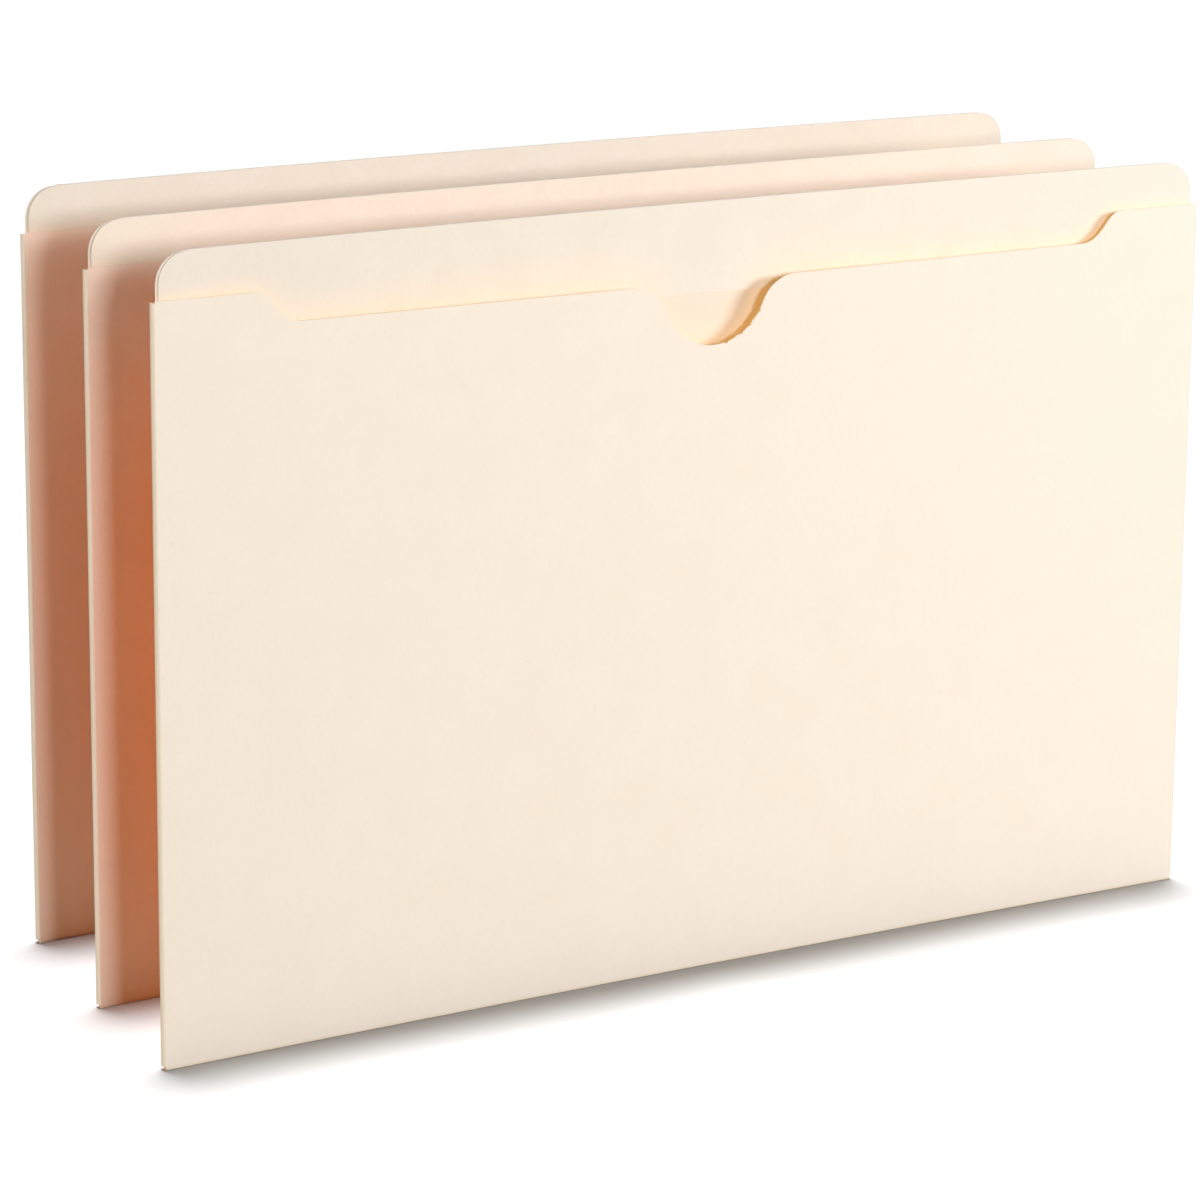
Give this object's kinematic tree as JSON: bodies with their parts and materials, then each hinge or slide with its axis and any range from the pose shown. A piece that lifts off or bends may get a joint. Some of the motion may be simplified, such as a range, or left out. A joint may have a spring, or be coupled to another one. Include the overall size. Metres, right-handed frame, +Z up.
{
  "type": "file pocket",
  "caption": "Flat legal-size card file pockets standing in a row, each with glued sides, a full-width doubled tab, a stepped front edge and a thumb cut.",
  "frame": {"origin": "bottom centre of the set of pockets, on the surface that they stand on", "axes": "+X along the pockets' width to the right seen from the front, +Y from the front pocket to the rear one, +Z up"},
  "size_m": [0.3936, 0.1358, 0.2413],
  "materials": {
    "front_card": "matt uncoated manila card",
    "back_card": "matt uncoated manila card",
    "tab_card": "matt uncoated manila card, doubled",
    "fold_card": "matt card, stretched at the crease",
    "flap_card": "matt uncoated manila card, glued down",
    "dried_glue": "thin dried adhesive film"
  },
  "bodies": {
    "front_pocket": {"front_pocket_back_panel": "back_card", "front_pocket_tab_ply": "tab_card", "front_pocket_tab_glue": "dried_glue", "front_pocket_bottom_fold": "fold_card", "front_pocket_left_side_flap": "flap_card", "front_pocket_right_side_flap": "flap_card", "front_pocket_left_glue_line": "dried_glue", "front_pocket_right_glue_line": "dried_glue"},
    "front_pocket_face": {"front_pocket_face_panel": "front_card"},
    "middle_pocket": {"middle_pocket_back_panel": "back_card", "middle_pocket_tab_ply": "tab_card", "middle_pocket_tab_glue": "dried_glue", "middle_pocket_bottom_fold": "fold_card", "middle_pocket_left_side_flap": "flap_card", "middle_pocket_right_side_flap": "flap_card", "middle_pocket_left_glue_line": "dried_glue", "middle_pocket_right_glue_line": "dried_glue"},
    "middle_pocket_face": {"middle_pocket_face_panel": "front_card"},
    "rear_pocket": {"rear_pocket_back_panel": "back_card", "rear_pocket_tab_ply": "tab_card", "rear_pocket_tab_glue": "dried_glue", "rear_pocket_bottom_fold": "fold_card", "rear_pocket_left_side_flap": "flap_card", "rear_pocket_right_side_flap": "flap_card", "rear_pocket_left_glue_line": "dried_glue", "rear_pocket_right_glue_line": "dried_glue"},
    "rear_pocket_face": {"rear_pocket_face_panel": "front_card"}
  },
  "joints": [
    {"name": "front_mouth", "type": "hinge", "parent": "front_pocket", "child": "front_pocket_face", "pos_m": [-0.0095, -0.06563, 0.00085], "axis": [1, 0, 0], "range_deg": [0, 6.5], "stiffness_Nm_per_rad": 0.12},
    {"name": "middle_mouth", "type": "hinge", "parent": "middle_pocket", "child": "middle_pocket_face", "pos_m": [-0.0015, -0.00563, 0.00085], "axis": [1, 0, 0], "range_deg": [0, 6.5], "stiffness_Nm_per_rad": 0.12},
    {"name": "middle_lift", "type": "slide", "parent": "front_pocket", "child": "middle_pocket", "axis": [0, 0, 1], "range_m": [0, 0.26]},
    {"name": "rear_mouth", "type": "hinge", "parent": "rear_pocket", "child": "rear_pocket_face", "pos_m": [0.0095, 0.06137, 0.00085], "axis": [1, 0, 0], "range_deg": [0, 6.5], "stiffness_Nm_per_rad": 0.12},
    {"name": "rear_lift", "type": "slide", "parent": "front_pocket", "child": "rear_pocket", "axis": [0, 0, 1], "range_m": [0, 0.26]}
  ]
}
